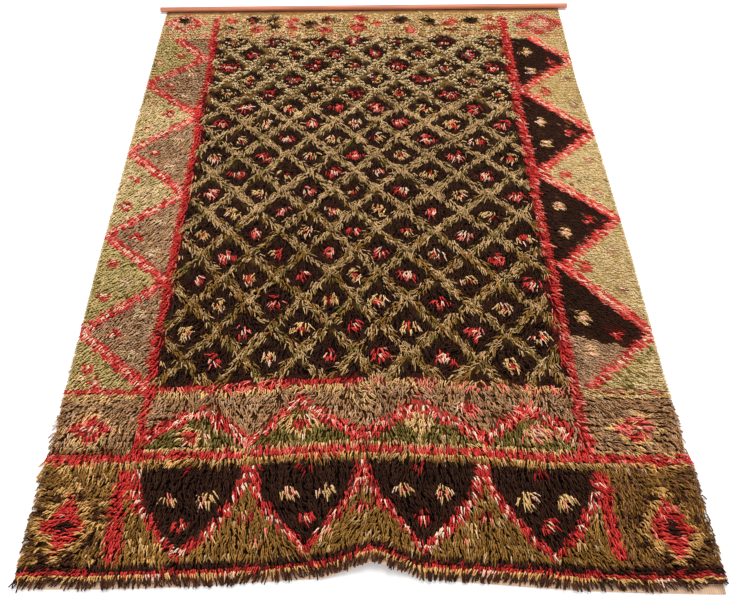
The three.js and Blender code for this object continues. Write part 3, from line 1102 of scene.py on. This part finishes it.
def weave_material(name, low, high, patterned=False):
    """Flat-woven wool with its weft on the face, darker in the grooves of its weave as painted shade. Under
    the pile it has the pattern's colours.
    """
    material, tree, shader = wool(name, 0.92, 0.15, linear(high))
    place = place_on(tree)
    parts = split(tree, place)
    warp = maths(tree, "SINE", maths(tree, "MULTIPLY", parts[0], WARP_TURNS))
    weft = maths(tree, "SINE", maths(tree, "MULTIPLY", parts[1], WEFT_TURNS))
    height = weighted(tree, (maths(tree, "ABSOLUTE", weft), 0.6), (warp, 0.25))
    # Painted shade: the colour follows the weave's relief, darker in its grooves, mixed with random
    # mottling.
    tone = weighted(tree, (height, 0.5), (noise(tree, place, 60.0), 0.6))
    if patterned:
        pattern = attribute(tree, "pattern", "Color")
        colour = multiplied(tree, pattern, ramp(tree, tone, ((0.1, grey(0.4)), (0.9, grey(1.0)))))
    else:
        colour = ramp(tree, tone, ((0.1, linear(low)), (0.9, linear(high))))
    connect(tree, shader.inputs["Base Color"], colour)
    add_bump(tree, shader, height, 0.7, 0.0008)
    return material


GROUND_COLUMNS = 36
GROUND_ROWS = 95
GROUND_THICK = 2.6
RIM_SHARE = 0.2  # how far the rim's corners lie inside the sheet's thickness


def ground_places(side):
    """The places of a panel's ground weave on a grid of rows and columns."""
    pile_rows = np.linspace(PILE_START_V, PILE_END_V, GROUND_ROWS)
    far_hem = (FAR_HEM_V, FAR_HEM_V + 1, PILE_START_V - 1)
    near_hem = (PILE_END_V + 1, NEAR_HEM_V - 1, NEAR_HEM_V)
    rows = np.concatenate([far_hem, pile_rows, near_hem])
    v, column = np.meshgrid(rows, np.linspace(0, 1, GROUND_COLUMNS + 1), indexing="ij")
    half_gap = SEAM_GAP / 2
    low = selvedge(-1, v) if side < 0 else seam_x(v) + half_gap
    high = seam_x(v) - half_gap if side < 0 else selvedge(1, v)
    return low + (high - low) * column, v


def sheet_faces(high, wide):
    """The faces of a closed sheet over a grid: its top, its underside and its rim.

    The points of the underside follow those of the top.
    """
    count = high * wide
    row, column = np.meshgrid(np.arange(high - 1), np.arange(wide - 1), indexing="ij")
    a = (row * wide + column).ravel()
    upper = np.stack([a, a + wide, a + wide + 1, a + 1], 1)
    lower = np.stack([a, a + 1, a + wide + 1, a + wide], 1) + count
    last = (high - 1) * wide
    left = np.arange(0, last + 1, wide)
    near = np.arange(last + 1, last + wide)
    right = np.arange(last - 1, 0, -wide)
    far = np.arange(wide - 2, 0, -1)
    loop = np.concatenate([left, near, right, far])
    following = np.roll(loop, -1)
    wall = np.stack([loop, loop + count, following + count, following], 1)
    return np.concatenate([upper, lower, wall])


def ground_colours(x, v):
    """The pattern's colours on the ground under the pile, as linear numbers with alpha, darkened as painted
    shade under the pile.
    """
    chart = chart_of(x, v, v)
    colours = np.array([linear(YARNS[name][1]) for name in YARN_NAMES])[chart.yarn]
    light = [YARN_NAMES.index(name) for name in ("red", "camel", "cream", "coral")]
    flowering = np.isin(chart.yarn, light) & chart.block(*FIELD)
    # Painted shade under the pile: darker than the yarn, lighter where the pile is worn or at the far end,
    # darkest under light flower yarns.
    painted_ground_shading = np.minimum(0.7 + 0.9 * worn(x, v) + 0.4 * smooth(*FAR_LOOK_V, v), 1.6)
    colours *= (painted_ground_shading * np.where(flowering, 0.3, 1))[:, None]
    colours[:, 3] = 1
    return colours


def ground_sheet(side, materials):
    """The ground weave of a panel as one closed sheet, with its three materials.

    They are for the ground under the pile, the near hem with the rest, and the far hem.
    """
    x, v = ground_places(side)
    rim = np.ones(v.shape, bool)
    rim[1:-1, 1:-1] = False
    hem = (v < PILE_START_V) | (v > PILE_END_V)
    thick = np.where(hem, HEM_THICK, GROUND_THICK)
    top = on_floor(x, v, np.where(rim, thick * (1 - RIM_SHARE), thick)).reshape(-1, 3)
    bottom = on_floor(x, v, np.where(rim, thick * RIM_SHARE, 0.0)).reshape(-1, 3)
    quads = sheet_faces(*v.shape)
    name = "ground_left" if side < 0 else "ground_right"
    sheet = mesh_from(name, np.concatenate([top, bottom]), (np.full(len(quads), 4), quads.ravel()))
    colours = np.concatenate([ground_colours(x.ravel(), v.ravel()), np.ones((x.size, 4))])
    pattern = sheet.data.color_attributes.new("pattern", "FLOAT_COLOR", "POINT")
    pattern.data.foreach_set("color", colours.astype(np.float32).ravel())
    for material in materials:
        sheet.data.materials.append(material)
    row_v = v[:-1, :-1].ravel()
    index = np.ones(len(quads), np.int32)
    index[: len(row_v)] = np.where(row_v < PILE_START_V, 2, np.where(row_v < PILE_END_V, 0, 1))
    sheet.data.polygons.foreach_set("material_index", index)
    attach(sheet, "root")
    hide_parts("panel_left" if side < 0 else "panel_right")
    return sheet


ROD_SIDES = 40
ROD_STEPS = 60
ROD_END = 1.4
ROD_END_STEPS = 4
ROD_BOW = 0.25
GRAIN_STRETCH = (6, 260, 260)
WOOD_TONES = ((0.3, (128, 62, 38)), (0.55, (178, 104, 72)), (0.72, (206, 136, 100)))


def wooden_rod(material):
    """The round rod, with softened ends and the slight bow of a planed stick."""
    length = (rod_high.x - rod_low.x) / MM
    half = length / 2
    end = []
    for bend in np.linspace(0, math.pi / 2, ROD_END_STEPS + 1)[1:]:
        end.append((-half + ROD_END * (1 - math.sin(bend)), ROD_RADIUS - ROD_END * (1 - math.cos(bend))))
    along = np.linspace(-half + ROD_END, half - ROD_END, ROD_STEPS + 1)
    middle = [(at, ROD_RADIUS) for at in along]
    stations = [*reversed(end), *middle, *[(-at, radius) for at, radius in end]]
    sides = ROD_SIDES
    points = []
    for at, radius in stations:
        bow = ROD_BOW * math.cos(math.pi * at / length)
        for turn in np.linspace(0, math.tau, sides, endpoint=False):
            points.append((at, radius * math.cos(turn), radius * math.sin(turn) + bow))
    points += [(-half, 0, 0), (half, 0, 0)]
    last = (len(stations) - 1) * sides
    faces = []
    for k in range(sides):
        beside = (k + 1) % sides
        for ring in range(0, last, sides):
            faces.append((ring + k, ring + beside, ring + sides + beside, ring + sides + k))
        faces.append((len(points) - 2, beside, k))
        faces.append((len(points) - 1, last + k, last + beside))
    counts = np.array([len(face) for face in faces])
    rod = mesh_from("rod", np.array(points) * MM + np.array(ROD_MID), (counts, np.concatenate(faces)))
    rod.data.materials.append(material)
    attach(rod, "root")
    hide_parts("hanging_rod")


def rod_material():
    """Reddish stained wood with grain along its length and a soft varnish."""
    material, tree, shader = new_material("stained_wood", Coat_Weight=0.25, Coat_Roughness=0.35)
    place = place_on(tree)
    stretch = node(tree, "ShaderNodeMapping")
    stretch.inputs["Scale"].default_value = GRAIN_STRETCH
    connect(tree, stretch.inputs["Vector"], place)
    grain = noise(tree, stretch.outputs[0], 1.0, detail=6.0)
    tone = weighted(tree, (grain, 0.7), (noise(tree, place, 5.0), 0.3))
    colour = ramp(tree, tone, [(at, linear(rgb)) for at, rgb in WOOD_TONES])
    connect(tree, shader.inputs["Base Color"], colour)
    rough = maths(tree, "ADD", maths(tree, "MULTIPLY", grain, 0.25), 0.35)
    connect(tree, shader.inputs["Roughness"], rough)
    add_bump(tree, shader, grain, 0.25, 0.0003)
    return material


# The camera of a standing person over the near hem: place from the cloth's zero, and turns in degrees
CAMERA_PLACE = (-12.9, -2010.7, 1327.9)
CAMERA_TURNS = (("Z", 2.09), ("X", 33.75), ("Z", -1.82))
CAMERA_LENS = 33.39
CAMERA_SHIFT = 0.0307


def add_camera():
    data = bpy.data.cameras.new("camera")
    data.lens = CAMERA_LENS
    data.sensor_width = 36
    data.shift_x = CAMERA_SHIFT
    camera = new_object("camera", data)
    x, y, z = CAMERA_PLACE
    placed = Matrix.Translation(Vector((x + ZERO_X, y + ZERO_Y, z)) * MM)
    for axis, degrees in CAMERA_TURNS:
        placed = placed @ Matrix.Rotation(math.radians(degrees), 4, axis)
    camera.matrix_world = placed
    bpy.context.scene.camera = camera


FLOOR_HALF = 20.0
# Square lights: name, place, size and power
LIGHTS = (("overhead", (0.4, 0.6, 3.0), 2.0, 90), ("front", (-1.2, -2.6, 2.4), 1.8, 25))


def add_floor():
    corners = np.array([(-1, -1, 0), (1, -1, 0), (1, 1, 0), (-1, 1, 0)]) * FLOOR_HALF
    floor = mesh_from("floor", corners, (np.array([4]), np.arange(4)))
    material, tree, shader = new_material("floor_pale", Roughness=0.8, Specular_IOR_Level=MATT_SPECULAR)
    mottle = noise(tree, place_on(tree, "Generated"), 1.5)
    colour = ramp(tree, mottle, ((0.3, grey(0.74)), (0.7, grey(0.78))))
    connect(tree, shader.inputs["Base Color"], colour)
    floor.data.materials.append(material)


def add_light(name, place, size, power):
    """A soft square light that faces the middle of the rug."""
    data = bpy.data.lights.new(name, "AREA")
    data.shape = "RECTANGLE"
    data.size = size
    data.size_y = size
    data.energy = power
    light = new_object(name, data)
    light.location = place
    light.rotation_euler = (-Vector(place)).to_track_quat("-Z", "Y").to_euler()


def add_world():
    world = bpy.data.worlds.new("studio")
    world.use_nodes = True
    background = world.node_tree.nodes["Background"]
    background.inputs["Color"].default_value = grey(1.0)
    background.inputs["Strength"].default_value = 1.0
    bpy.context.scene.world = world
    bpy.context.scene.view_settings.view_transform = "Standard"


def build():
    add_camera()
    add_floor()
    add_world()
    for light in LIGHTS:
        add_light(*light)
    yarns = {name: yarn_material(name) for name in YARN_NAMES}
    foot = weave_material("pile_foot", (60, 50, 40), (160, 140, 120), patterned=True)
    near_hem = weave_material("hem_weave", (142, 104, 76), (224, 190, 160))
    # The far hem's darker browns are painted shade under the rod.
    far_hem = weave_material("far_hem_shaded_weave", (58, 34, 20), (140, 98, 66))
    for side in (-1, 1):
        sheet = ground_sheet(side, (foot, near_hem, far_hem))
        pieces = panel_pile(side, yarns)
    wooden_rod(rod_material())


build()
